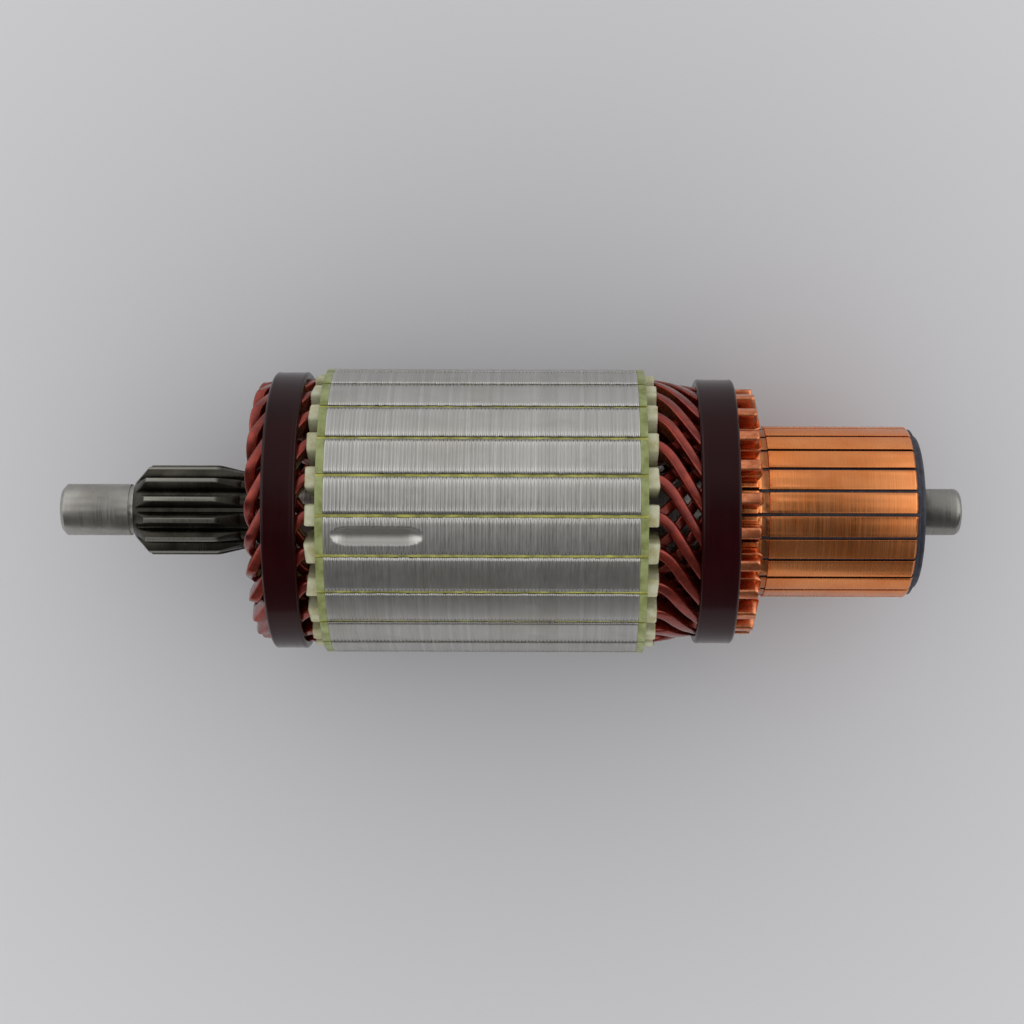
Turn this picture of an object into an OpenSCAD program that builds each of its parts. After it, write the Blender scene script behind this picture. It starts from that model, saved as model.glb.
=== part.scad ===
// Armature of a gear-reduction starter motor.
// The shaft lies along X, with the sun gear at -X and the commutator at +X.
// The origin is on the axis, half-way along the shaft. All sizes are in millimetres.

/* [Shaft] */
// Diameter of the drive-end journal
drive_journal_d = 14.76; // [13:0.01:16]
// Length of the drive-end journal
drive_journal_len = 19.45; // [12:0.05:30]
// Chamfer on the drive end of the shaft
drive_chamfer = 1.2; // [0.5:0.1:2]
// Diameter of the grinding relief between journal and gear
relief_d = 13.9; // [12:0.1:14.2]
// Length of that relief
relief_len = 1.5; // [1:0.1:3]
// Diameter of the shaft through the core
core_seat_d = 22; // [18:0.5:24]
// Length of shaft from the gear's last teeth to the core
neck_len = 20; // [12:0.5:40]
// Diameter of the shaft under the commutator
comm_seat_d = 17; // [15:0.5:18]
// Diameter of the commutator-end journal
comm_journal_d = 13.3; // [11:0.01:15]
// Length of the commutator-end journal
comm_journal_len = 10.75; // [6:0.05:20]
// Rounding of the commutator end of the shaft
comm_round = 2; // [0.5:0.1:3]
// Width of the grinding relief beside that journal
comm_relief_len = 2.4; // [1:0.1:4]
// Depth of that relief
comm_relief_depth = 0.3; // [0.2:0.05:0.6]
// Length of the step before the commutator's seat
comm_step_len = 2; // [1:0.1:4]
// How far the bush and the shaft's seat stop short of the moulding's end
bush_recess = 1; // [0.5:0.1:3]

/* [Sun gear] */
// Number of teeth
gear_teeth = 13; // [11:1:17]
// Module, the pitch diameter divided by the number of teeth
gear_module = 1.7; // [1.5:0.05:1.8]
// Outside diameter over the teeth
gear_d = 25.8; // [25:0.1:26.2]
// Profile shift, in modules
gear_shift = 0.2; // [0:0.05:0.3]
// Pressure angle in degrees
gear_pressure = 20; // [17:0.5:25]
// Length of the gear up to where its teeth start to fall
gear_len = 23.3; // [15:0.1:40]
// Length of the pointed lead-in on the drive side
gear_lead = 4.2; // [2:0.1:6]
// Diameter where the lead-in starts
gear_lead_d = 16.4; // [15.6:0.1:18]
// Length over which the teeth fall towards the winding
gear_fall_len = 7.5; // [3:0.1:12]
// Diameter over the teeth at the end of that fall
gear_fall_d = 22.2; // [21:0.1:24]
// Length of the low tooth ends past the fall
gear_tail_len = 6.6; // [2:0.1:10]
// Turn of the first tooth gap from the top
gear_turn = 0; // [0:0.5:27]

/* [Core] */
// Outside diameter of the laminated core
core_d = 81; // [78:0.5:90]
// Length of the laminated core, 85 sheets
core_len = 85.3; // [50:0.1:130]
// Number of slots, and of commutator bars
slots = 23; // [21:2:25]
// Turn of the first slot from the top
slot_turn = 2.1; // [0:0.1:15]
// Width of the slot opening at the outside
slot_opening = 0.9; // [0.7:0.05:1.5]
// Thickness of the tooth tips over the slot
lip_t = 1.2; // [0.8:0.1:2]
// Thickness of each end disc
disc_t = 2.2; // [1:0.1:4]

/* [Balancing groove] */
// Length of the milled groove
groove_len = 24.9; // [10:0.1:40]
// Depth of the milled groove
groove_depth = 1.5; // [0.5:0.1:1.8]
// Radius of the cutter that leaves its rounded ends
groove_r = 9; // [6:0.5:14]
// Radius of the cutter's rounded rim
groove_rim = 2.7; // [1.8:0.1:3.5]
// Distance from the core's pinion-side face to the groove's start
groove_from = 2; // [1:0.1:20]

/* [Conductor] */
// Width of the copper bar, around the core
wire_w = 3; // [2.4:0.1:3.2]
// Height of the copper bar, in depth of the slot
wire_h = 5; // [4:0.1:5.2]
// Chamfer that stands for the bar's rounded outer edges
wire_edge = 0.7; // [0.3:0.1:1.2]
// Width of the bare, pressed end in the riser
bare_w = 3.4; // [3:0.1:3.6]
// Number of slots from a coil's outer leg to its inner leg
coil_span = 6; // [5:1:6]

/* [Slot insulation] */
// Thickness of the slot paper
paper_t = 0.45; // [0.3:0.05:0.6]
// Thickness of the paper web between the two legs
web_t = 0.5; // [0.3:0.05:0.8]
// Thickness of the slot wedge under the tooth tips
wedge_t = 0.7; // [0.5:0.1:1.2]
// How far the wedge's rib stays below the core's surface
wedge_sink = 0.5; // [0.3:0.1:0.9]
// Width of the folded paper cuff outside the core
cuff_w = 6; // [5:0.1:6.4]
// How far the cuff's fold stands out past the slot paper, up and down
cuff_fold = 0.3; // [0.1:0.05:0.5]
// Length of the cuff outside the end disc
cuff_len = 2.9; // [2:0.1:5]
// Rounding of the cuff's corners
cuff_round = 1.1; // [0.3:0.1:1.4]

/* [Winding ends] */
// Reach of the hairpin noses from the core's face
nose_reach = 22.2; // [19:0.1:26]
// Half the angle that a nose's arc covers about the shaft
nose_half = 7.5; // [6:0.1:8.2]
// How far that arc stands past the ends of its legs
nose_sag = 1.1; // [0.8:0.05:1.4]
// How much further apart the two layers are at the noses than in the slots
nose_spread = 1; // [0.6:0.1:1.4]
// How far the winding drops under the pinion-side band
pinion_drop = 0.6; // [0.2:0.1:1]
// How much more it drops on the way to the noses
nose_drop = 0.7; // [0:0.1:1.2]
// Gap from the cuffs to the start of the pinion-side band
pinion_band_gap = 2.4; // [1:0.1:4]
// Width of the pinion-side band
pinion_band_w = 9.5; // [5:0.1:11]
// Thickness of the pinion-side band
pinion_band_t = 2.05; // [1:0.05:3]
// Gap from the commutator-side band's outer edge back to the risers' outer face
comm_band_gap = 5.8; // [5:0.1:7]
// Width of the commutator-side band
comm_band_w = 10.8; // [6:0.1:13]
// Thickness of the commutator-side band
comm_band_t = 2.05; // [1:0.05:3]
// Rounding of the bands' edges
band_round = 1.2; // [0.4:0.1:1.8]
// Length from the core to the back of the risers
winding_space = 26.9; // [25:0.1:34]
// Step down of the bare ends behind the band
bare_step = 0.6; // [0.2:0.1:1]
// Length over which a wire end steps down into its riser
bare_lead = 1.7; // [1:0.1:2.5]
// How far a welded wire end stands past its riser
bare_proud = 0.15; // [0:0.05:0.5]
// Length of its pointed end
bare_tip_len = 1.4; // [0.8:0.1:2]
// Width of that end, as a share of the wire's width
bare_tip_share = 0.5; // [0.3:0.05:0.9]
// How far the middle of the welded end swells past its top and bottom
bare_bulge = 0.65; // [0.2:0.05:1]
// Thickness of the sleeves between the two layers
sleeve_t = 0.3; // [0.15:0.05:0.4]

/* [Commutator] */
// Diameter of the brush track
comm_d = 48.9; // [46:0.1:52]
// Length of the brush track, from the riser to the bars' outer end
comm_len = 44.8; // [30:0.1:60]
// Width of the gaps between bars
bar_gap = 0.85; // [0.6:0.05:1.2]
// Depth of the undercut gaps below the track
undercut = 0.8; // [0.4:0.1:1.5]
// Chamfer on the bars' outer end
bar_chamfer = 1.5; // [0.5:0.1:2]
// Depth of the copper below the track
bar_depth = 5; // [4:0.1:5.5]
// Depth of the root by which the moulding grips a bar
root_depth = 2; // [1:0.1:3]
// Distance from the bar's ends to that root
root_in = 6; // [4:0.5:10]
// Chamfer of the riser's shoulder
riser_chamfer = 0.6; // [0.2:0.1:1]
// Length of the risers along the shaft
riser_len = 6.4; // [4.5:0.1:8]
// Height of the riser's shoulders over the track
riser_h = 2.05; // [1.2:0.05:3]
// Height of the riser slot's floor over the track
riser_seat = 0.55; // [0.2:0.05:1]
// Distance from the riser to the turned relief ring
ring_from = 0.8; // [0.4:0.1:2]
// Width of the relief ring
ring_w = 2.2; // [1:0.1:4]
// Depth of the relief ring
ring_depth = 0.4; // [0.2:0.05:0.8]
// Wall of the steel bush inside the moulding
bush_wall = 2.5; // [1.5:0.1:3]
// Length of the moulding past the bars
nose_len = 1.8; // [1:0.1:4]
// Step of the moulding's nose below the track
nose_step = 2.4; // [1.8:0.1:4]
// Rounding of the moulding's nose
nose_round = 1; // [0.4:0.1:1.7]

/* [Fits] */
// Clearance on each side between insulation, wire and slot
fit_gap = 0.05; // [0.03:0.01:0.08]
// Radial clearance in the pressed seats on the shaft
seat_gap = 0.01; // [0.01:0.01:0.03]
// Radial clearance of bands and sleeves over the wires
wrap_gap = 0.12; // [0.1:0.01:0.15]

/* [Hidden] */
$fn = 96;
pitch = 360 / slots;
eps = 0.01;

// Stations along the shaft, from the drive end
overall = drive_journal_len + relief_len + gear_len + gear_fall_len + gear_tail_len + neck_len
    + core_len + winding_space + riser_len + comm_len + nose_len + comm_relief_len + comm_journal_len;
x_start = -overall / 2;
x_relief = x_start + drive_journal_len;
x_gear = x_relief + relief_len;
x_fall = x_gear + gear_len;
x_tail = x_fall + gear_fall_len;
x_neck = x_tail + gear_tail_len;
x_core = x_neck + neck_len;
x_core_end = x_core + core_len;
x_riser = x_core_end + winding_space;
x_track = x_riser + riser_len;
x_bars_end = x_track + comm_len;
x_mould_end = x_bars_end + nose_len;
x_journal = x_mould_end + comm_relief_len;
x_end = x_journal + comm_journal_len;

// Radii through the slot, from the outside in
core_r = core_d / 2;
slot_top = core_r - lip_t;
wedge_top = slot_top - fit_gap;
wedge_low = wedge_top - wedge_t;
paper_top = wedge_low - fit_gap;
outer_top = paper_top - paper_t - fit_gap;
outer_low = outer_top - wire_h;
layer_gap = web_t + 2 * fit_gap;
inner_top = outer_low - layer_gap;
inner_low = inner_top - wire_h;
paper_low = inner_low - fit_gap - paper_t;
slot_low = paper_low - fit_gap;
channel_w = wire_w + 2 * fit_gap;
paper_w = channel_w + 2 * paper_t;
slot_w = paper_w + 2 * fit_gap;

// Ends of the cuffs, their widened mouths, and where the conductors start to bend inside these
cuff_x0 = x_core - disc_t - cuff_len;
cuff_x1 = x_core_end + disc_t + cuff_len;
mouth = 1.5;
mouth_w = channel_w + 1.3;
mouth_drop = 0.35;
bend_x0 = cuff_x0 + mouth / 2;
bend_x1 = cuff_x1 - mouth;

// Where a nose's arc begins
nose_x = x_core - nose_reach + wire_w / 2 + nose_sag;
pinion_top = outer_top - pinion_drop;

// Bare ends, stacked in the risers
track_r = comm_d / 2;
riser_floor = track_r + riser_seat;
bare_low = riser_floor + fit_gap;
bare_top = bare_low + 2 * wire_h + fit_gap;
band_top = bare_top + bare_step;
tail_x = x_riser - bare_lead;
bare_tip_x = x_track + bare_proud;

// Shape of the tooth flanks
pitch_r = gear_teeth * gear_module / 2;
base_r = pitch_r * cos(gear_pressure);
root_r = pitch_r - (1.25 - gear_shift) * gear_module;
tip_r = gear_d / 2;

function two(i) = str(i < 9 ? "0" : "", i + 1);
function coil_name(i) = str("coil_", two(i));
function bar_name(i) = str("bar_", two(i));

// Solid of revolution about the shaft from points [x, radius]
module turned(points) {
    rotate([0, 90, 0])
        rotate_extrude()
            polygon([for (p = points) [p[1], p[0]]]);
}

// Prism along the shaft from x0 to x1; the flat shape's Y is up and its X is along Y
module along(x0, x1) {
    translate([x0, 0, 0])
        rotate([90, 0, 90])
            linear_extrude(x1 - x0)
                children();
}

// Points of an arc about [cx, cy] from angle a0 to a1
function arc(cx, cy, r, a0, a1, n = 6) =
    [for (i = [0 : n]) let (a = a0 + (a1 - a0) * i / n) [cx + r * cos(a), cy + r * sin(a)]];

// Section of a ring whose two outer edges are rounded
function ring_section(x0, x1, r0, r1, f) = concat(
    [[x1, r0], [x0, r0]],
    arc(x0 + f, r1 - f, f, 180, 90),
    arc(x1 - f, r1 - f, f, 90, 0)
);

// ---- Shaft with its sun gear ----

// Involute function, in degrees
function inv(a) = tan(a) * 180 / PI - a;

// Half the angle that a tooth covers at radius r
function half_tooth(r) =
    (PI / 2 + 2 * gear_shift * tan(gear_pressure)) * gear_module / (2 * pitch_r) * 180 / PI
    + inv(gear_pressure) - inv(acos(min(1, base_r / r)));

// One flank from root to tip, as [radius, half angle]
flank_steps = 6;
low_r = max(base_r, root_r);
flank = concat(
    [[root_r, half_tooth(low_r) + 2.2], [root_r + 0.35, half_tooth(low_r) + 0.3]],
    [for (i = [0 : flank_steps]) let (r = low_r + (tip_r - low_r) * i / flank_steps) [r, half_tooth(r)]]
);

function at_polar(r, a) = [r * sin(a), r * cos(a)];

module gear_section() {
    step = 360 / gear_teeth;
    last = len(flank) - 1;
    polygon([
        for (i = [0 : gear_teeth - 1])
            let (mid = gear_turn + (i + 0.5) * step)
                each concat(
                    [for (p = flank) at_polar(p[0], mid - p[1])],
                    [for (j = [last : -1 : 0]) at_polar(flank[j][0], mid + flank[j][1])]
                )
    ]);
}

module sun_gear() {
    intersection() {
        along(x_gear, x_neck) gear_section();
        turned([
            [x_gear, 0],
            [x_gear, gear_lead_d / 2],
            [x_gear + gear_lead, tip_r],
            [x_fall, tip_r],
            [x_tail, gear_fall_d / 2],
            [x_tail, gear_fall_d / 2 - 0.2],
            [x_neck, gear_fall_d / 2 - 0.2],
            [x_neck, 0]
        ]);
    }
}

module shaft() {
    journal_r = drive_journal_d / 2;
    end_r = comm_journal_d / 2;
    spine_r = gear_lead_d / 2 - 0.2;
    color("#8a877c")
        union() {
            sun_gear();
            turned(concat(
                [
                    [x_start, 0],
                    [x_start, journal_r - drive_chamfer],
                    [x_start + drive_chamfer, journal_r],
                    [x_relief, journal_r],
                    [x_relief, relief_d / 2],
                    [x_gear, relief_d / 2],
                    [x_gear, spine_r],
                    [x_neck, spine_r],
                    [x_neck, core_seat_d / 2],
                    [x_riser - comm_step_len, core_seat_d / 2],
                    [x_riser - comm_step_len, comm_seat_d / 2],
                    [x_mould_end - bush_recess, comm_seat_d / 2],
                    [x_mould_end - bush_recess, end_r - comm_relief_depth],
                    [x_journal, end_r - comm_relief_depth],
                    [x_journal, end_r]
                ],
                arc(x_end - comm_round, end_r - comm_round, comm_round, 90, 0),
                [[x_end, 0]]
            ));
        }
}

// ---- Core ----

module slot_section() {
    translate([-slot_w / 2, slot_low])
        square([slot_w, slot_top - slot_low]);
    translate([-slot_opening / 2, slot_top - eps])
        square([slot_opening, lip_t + 1]);
}

module sheet_section() {
    difference() {
        circle(core_r);
        circle(core_seat_d / 2 + seat_gap);
        for (i = [0 : slots - 1])
            rotate(slot_turn + i * pitch)
                slot_section();
    }
}

// Side-and-face cutter that milled the balancing groove
// A disc with a rounded rim is sunk into one tooth and moved along the shaft
module groove_cutter() {
    end_run = sqrt(groove_depth * (2 * groove_r - groove_depth));
    half_run = groove_len / 2 - end_run;
    rotate([slot_turn + pitch / 2, 0, 0])
        translate([x_core + groove_from + groove_len / 2, 0, core_r - groove_depth]) {
            for (side = [-1, 1])
                translate([side * half_run, 0, groove_r])
                    rotate([90, 0, 0])
                        rotate_extrude()
                            translate([groove_r - groove_rim, 0])
                                intersection() {
                                    circle(groove_rim);
                                    translate([0, -groove_rim])
                                        square([groove_rim, 2 * groove_rim]);
                                }
            along(-half_run, half_run)
                translate([0, groove_rim])
                    circle(groove_rim);
        }
}

module lamination_stack() {
    color("#9a9a97")
        difference() {
            along(x_core, x_core_end) sheet_section();
            groove_cutter();
        }
}

module end_disc(x) {
    color("#b3c06c")
        along(x, x + disc_t) sheet_section();
}

// ---- Slot insulation ----

// Two wire channels, one over the other
module channels() {
    translate([-channel_w / 2, outer_low - fit_gap])
        square([channel_w, wire_h + 2 * fit_gap]);
    translate([-channel_w / 2, inner_low - fit_gap])
        square([channel_w, wire_h + 2 * fit_gap]);
}

// One tall opening at a cuff's end, where the bars start to bend and drop
module mouth_opening() {
    low = inner_low - fit_gap - mouth_drop;
    translate([-mouth_w / 2, low])
        square([mouth_w, outer_top + fit_gap - low]);
}

module paper_section() {
    difference() {
        translate([-paper_w / 2, paper_low])
            square([paper_w, paper_top - paper_low]);
        channels();
    }
}

module cuff_section() {
    low = paper_low - cuff_fold;
    high = paper_top + cuff_fold;
    half = cuff_w / 2;
    difference() {
        polygon(concat(
            arc(half - cuff_round, high - cuff_round, cuff_round, 0, 90),
            arc(cuff_round - half, high - cuff_round, cuff_round, 90, 180),
            arc(cuff_round - half, low + cuff_round, cuff_round, 180, 270),
            arc(half - cuff_round, low + cuff_round, cuff_round, 270, 360)
        ));
        children();
    }
}

module slot_liner() {
    disc_x0 = x_core - disc_t;
    disc_x1 = x_core_end + disc_t;
    along(cuff_x0, cuff_x0 + mouth) cuff_section() mouth_opening();
    along(cuff_x0 + mouth, disc_x0) cuff_section() channels();
    along(disc_x0, disc_x1) paper_section();
    along(disc_x1, cuff_x1 - mouth) cuff_section() channels();
    along(cuff_x1 - mouth, cuff_x1) cuff_section() mouth_opening();
}

module slot_liners() {
    color("#e0dcb8")
        for (i = [0 : slots - 1])
            rotate([slot_turn + i * pitch, 0, 0])
                slot_liner();
}

module slot_wedge() {
    flange_w = slot_w - 2 * fit_gap;
    rib_w = slot_opening - 2 * fit_gap;
    along(x_core - disc_t, x_core_end + disc_t)
        polygon([
            [-flange_w / 2, wedge_low],
            [flange_w / 2, wedge_low],
            [flange_w / 2, wedge_top],
            [rib_w / 2, wedge_top],
            [rib_w / 2, core_r - wedge_sink],
            [-rib_w / 2, core_r - wedge_sink],
            [-rib_w / 2, wedge_top],
            [-flange_w / 2, wedge_top]
        ]);
}

module slot_wedges() {
    color("#c3cc4a")
        for (i = [0 : slots - 1])
            rotate([slot_turn + i * pitch, 0, 0])
                slot_wedge();
}

// ---- Hairpin coils ----

// Share of a leg's turn that is done at t = 0..1, when it bends in over the share a of the way,
// runs at a constant slant, and bends out over the share b
function s_bend(t, a, b) =
    let (full = 1 - a / 2 - b / 2)
        t < a ? t * t / (2 * a) / full :
        t > 1 - b ? 1 - (1 - t) * (1 - t) / (2 * b) / full :
        (t - a / 2) / full;

// A station of the sweep: [x, radius at mid height, turn, 1 where it lies level on a cone, width, slant of end]
comm_steps = [0.14, 0.27, 0.4, 0.55, 0.7, 0.85, 1];
pinion_steps = [0.14, 0.26, 0.45, 0.7, 1];
nose_steps = 8;
bend_in = 0.3;
bend_out = 0.3;
half_span = coil_span * pitch / 2;
outer_turn = 2.5 * pitch;
inner_turn = (coil_span - 1) * pitch - outer_turn;
drop_by = 0.55;
pinion_drop_by = 0.26;
nose_drop_from = 0.63;

// Height of the outer layer's top on the commutator side
function comm_top(t) = outer_top - (outer_top - band_top) * min(1, t / drop_by);
// The same on the pinion side
function pinion_top_at(t) =
    outer_top - pinion_drop * min(1, t / pinion_drop_by)
    - nose_drop * max(0, t - nose_drop_from) / (1 - nose_drop_from);

// Extra drop of the inner layer towards the noses
function spread_at(t) = nose_spread * max(0, t - pinion_drop_by) / (1 - pinion_drop_by);

function comm_leg(inner) =
    let (
        down = inner ? wire_h + layer_gap : 0,
        from = inner ? 2 * half_span : 0,
        turn = inner ? -inner_turn : outer_turn,
        bare_mid = inner ? bare_low + wire_h / 2 : bare_top - wire_h / 2,
        tip = inner ? -bare_bulge : bare_bulge
    )
    concat(
        [[bend_x1, outer_top - wire_h / 2 - down, from, 1, wire_w, 0]],
        [for (t = comm_steps) [
            bend_x1 + (tail_x - bend_x1) * t,
            comm_top(t) - wire_h / 2 - down,
            from + turn * s_bend(t, bend_in, bend_out),
            1,
            wire_w,
            0
        ]],
        [[x_riser, bare_mid, from + turn, 1, bare_w, 0]],
        [[bare_tip_x - bare_tip_len, bare_mid, from + turn, 1, bare_w, 0]],
        [[bare_tip_x, bare_mid, from + turn, 1, bare_w * bare_tip_share, tip]]
    );

function pinion_leg(inner) =
    let (
        down = inner ? wire_h + layer_gap : 0,
        way = inner ? -1 : 1,
        from = inner ? 2 * half_span : 0
    )
    concat(
        [[bend_x0, outer_top - wire_h / 2 - down, from, 1, wire_w, 0]],
        [for (t = pinion_steps) [
            bend_x0 + (nose_x - bend_x0) * t,
            pinion_top_at(t) - wire_h / 2 - down - (inner ? spread_at(t) : 0),
            from + way * (half_span - nose_half) * s_bend(t, bend_in, 0),
            1,
            wire_w,
            0
        ]]
    );

// The nose: its arc is a parabola about the shaft, and halfway round it falls into the inner layer
nose_fall = wire_h + layer_gap + nose_spread;
nose_bend = [
    for (j = [1 : nose_steps])
        let (
            u = 2 * j / (nose_steps + 1) - 1,
            share = (u + 1) / 2
        )
            [
                nose_x - nose_sag * (1 - u * u),
                pinion_top_at(1) - wire_h / 2 - nose_fall * share * share * (3 - 2 * share),
                half_span + nose_half * u,
                0,
                wire_w,
                0
            ]
];

function reversed(list) = [for (i = [len(list) - 1 : -1 : 0]) list[i]];

coil_route = concat(
    reversed(comm_leg(false)),
    pinion_leg(false),
    nose_bend,
    reversed(pinion_leg(true)),
    comm_leg(true)
);

// Place of a station, and its outward direction
function place(s) = [s[0], -s[1] * sin(s[2]), s[1] * cos(s[2])];
function outward(s) = [0, -sin(s[2]), cos(s[2])];
function unit(v) = v / norm(v);

// Section of the bar: square to the slot below, chamfered above; [across, outward]
function bar_section(w) = [
    [-w / 2, -wire_h / 2],
    [w / 2, -wire_h / 2],
    [w / 2, wire_h / 2 - wire_edge],
    [w / 2 - wire_edge, wire_h / 2],
    [wire_edge - w / 2, wire_h / 2],
    [-w / 2, wire_h / 2 - wire_edge]
];

// Rise of the route per length of shaft; the bar's faces lie level with the cone that it follows
function slope(route, i) =
    let (
        a = route[min(i + 1, len(route) - 1)],
        b = route[max(i - 1, 0)],
        run = a[0] - b[0]
    )
    abs(run) < eps ? 0 : (a[1] - b[1]) / run;

function ring_points(route, i) =
    let (
        s = route[i],
        ahead = place(route[min(i + 1, len(route) - 1)]),
        behind = place(route[max(i - 1, 0)]),
        along_wire = unit(ahead - behind),
        out = outward(s),
        rise = s[3] * slope(route, i),
        across = unit(cross(along_wire, out - [rise, 0, 0])),
        end_push = [s[5] / (wire_h / 2), 0, 0]
    )
    [for (p = bar_section(s[4])) place(s) + p[0] * across + p[1] * out - p[1] * end_push];

sides = 6;
coil_points = [for (i = [0 : len(coil_route) - 1]) each ring_points(coil_route, i)];
coil_faces = concat(
    [for (j = [1 : sides - 2]) [0, j, j + 1]],
    [
        for (i = [0 : len(coil_route) - 2], j = [0 : sides - 1])
            let (
                a = i * sides + j,
                b = i * sides + (j + 1) % sides,
                c = b + sides,
                d = a + sides
            )
            each [[a, c, b], [a, d, c]]
    ],
    let (last = (len(coil_route) - 1) * sides)
        [for (j = [1 : sides - 2]) [last, last + j + 1, last + j]]
);

module coil(i) {
    color("#7a2a1c")
        rotate([slot_turn + i * pitch, 0, 0])
            polyhedron(coil_points, coil_faces);
}

// ---- Commutator ----

// Section of a bar along the shaft: riser, brush track with its relief ring, chamfered end,
// and below them the root that the moulding grips
module bar_profile() {
    body_low = track_r - bar_depth;
    turned([
        [x_riser, body_low],
        [x_riser, track_r + riser_h],
        [x_track - riser_chamfer, track_r + riser_h],
        [x_track, track_r + riser_h - riser_chamfer],
        [x_track, track_r],
        [x_track + ring_from, track_r],
        [x_track + ring_from, track_r - ring_depth],
        [x_track + ring_from + ring_w, track_r - ring_depth],
        [x_track + ring_from + ring_w, track_r],
        [x_bars_end - bar_chamfer, track_r],
        [x_bars_end, track_r - bar_chamfer],
        [x_bars_end, body_low],
        [x_bars_end - root_in, body_low],
        [x_bars_end - root_in + root_depth, body_low - root_depth],
        [x_riser + root_in, body_low - root_depth],
        [x_riser + root_in + root_depth, body_low]
    ]);
}

module bar_wedge() {
    low = track_r - bar_depth - 2 * root_depth;
    high = track_r + 2 * riser_h;
    side = bar_gap / 2 / cos(pitch / 2);
    along(x_riser - 1, x_bars_end + 1)
        polygon([
            [-(low * tan(pitch / 2) - side), low],
            [low * tan(pitch / 2) - side, low],
            [high * tan(pitch / 2) - side, high],
            [-(high * tan(pitch / 2) - side), high]
        ]);
}

module bar_solid() {
    intersection() {
        bar_profile();
        bar_wedge();
    }
}

module bar(i) {
    floor_w = bare_w + 2 * fit_gap;
    color("#d98a52")
        rotate([slot_turn + (i + 0.5) * pitch, 0, 0])
            difference() {
                bar_solid();
                translate([x_riser - 1, -floor_w / 2, riser_floor])
                    cube([riser_len + 2, floor_w, riser_h + 2]);
            }
}

bush_r = comm_seat_d / 2 + seat_gap + bush_wall;

module commutator_moulding() {
    nose_r = track_r - nose_step;
    color("#3c3c4a")
        difference() {
            turned(concat(
                [
                    [x_riser, bush_r + seat_gap],
                    [x_riser, track_r - undercut],
                    [x_bars_end, track_r - undercut],
                    [x_bars_end, nose_r]
                ],
                arc(x_mould_end - nose_round, nose_r - nose_round, nose_round, 90, 0),
                [[x_mould_end, bush_r + seat_gap]]
            ));
            for (i = [0 : slots - 1])
                rotate([slot_turn + (i + 0.5) * pitch, 0, 0])
                    bar_solid();
        }
}

module commutator_bush() {
    color("#8f8f8c")
        turned([
            [x_riser, comm_seat_d / 2 + seat_gap],
            [x_riser, bush_r],
            [x_mould_end - bush_recess, bush_r],
            [x_mould_end - bush_recess, comm_seat_d / 2 + seat_gap]
        ]);
}

// ---- Bands and sleeves ----

module pinion_band() {
    x1 = cuff_x0 - pinion_band_gap;
    low = pinion_top + wrap_gap;
    color("#4a141e")
        turned(ring_section(x1 - pinion_band_w, x1, low, low + pinion_band_t, band_round));
}

module commutator_band() {
    x1 = x_track - comm_band_gap;
    low = band_top + wrap_gap;
    color("#4a141e")
        turned(ring_section(x1 - comm_band_w, x1, low, low + comm_band_t, band_round));
}

// Sleeve from points [x, radius of the outer layer's top]
module sleeve(tops) {
    high = -wire_h - (layer_gap - sleeve_t) / 2;
    low = high - sleeve_t;
    color("#2c3a36")
        turned(concat(
            [for (p = tops) [p[0], p[1] + high]],
            [for (p = reversed(tops)) [p[0], p[1] + low]]
        ));
}

module pinion_sleeve() {
    steps = [for (t = pinion_steps) if (t > 0.2 && t < 0.9) t];
    sleeve([for (t = steps) [bend_x0 + (nose_x - bend_x0) * t, pinion_top_at(t) - spread_at(t) / 2]]);
}

module commutator_sleeve() {
    steps = [for (t = comm_steps) if (t > drop_by + 0.1) t];
    sleeve([for (t = steps) [bend_x1 + (tail_x - bend_x1) * t, comm_top(t)]]);
}

shaft();
lamination_stack();
end_disc(x_core - disc_t);  // pinion_end_disc
end_disc(x_core_end);  // commutator_end_disc
slot_liners();
slot_wedges();
for (i = [0 : slots - 1])
    coil(i);
for (i = [0 : slots - 1])
    bar(i);
commutator_moulding();
commutator_bush();
pinion_band();
commutator_band();
pinion_sleeve();
commutator_sleeve();
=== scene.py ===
# %% [markdown]
# # Motor armature
# The rotor of a wound DC motor: a ground shaft with a small sun gear cut into one end, a core of
# stamped steel sheets, copper hairpin coils bound by two dark red bands, and a copper commutator.
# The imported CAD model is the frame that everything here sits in. Its axis is X, the gear points to
# -X, and +Z points at whoever looks down on it as it lies on a pale table.

# %% Load the frame
import math

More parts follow.
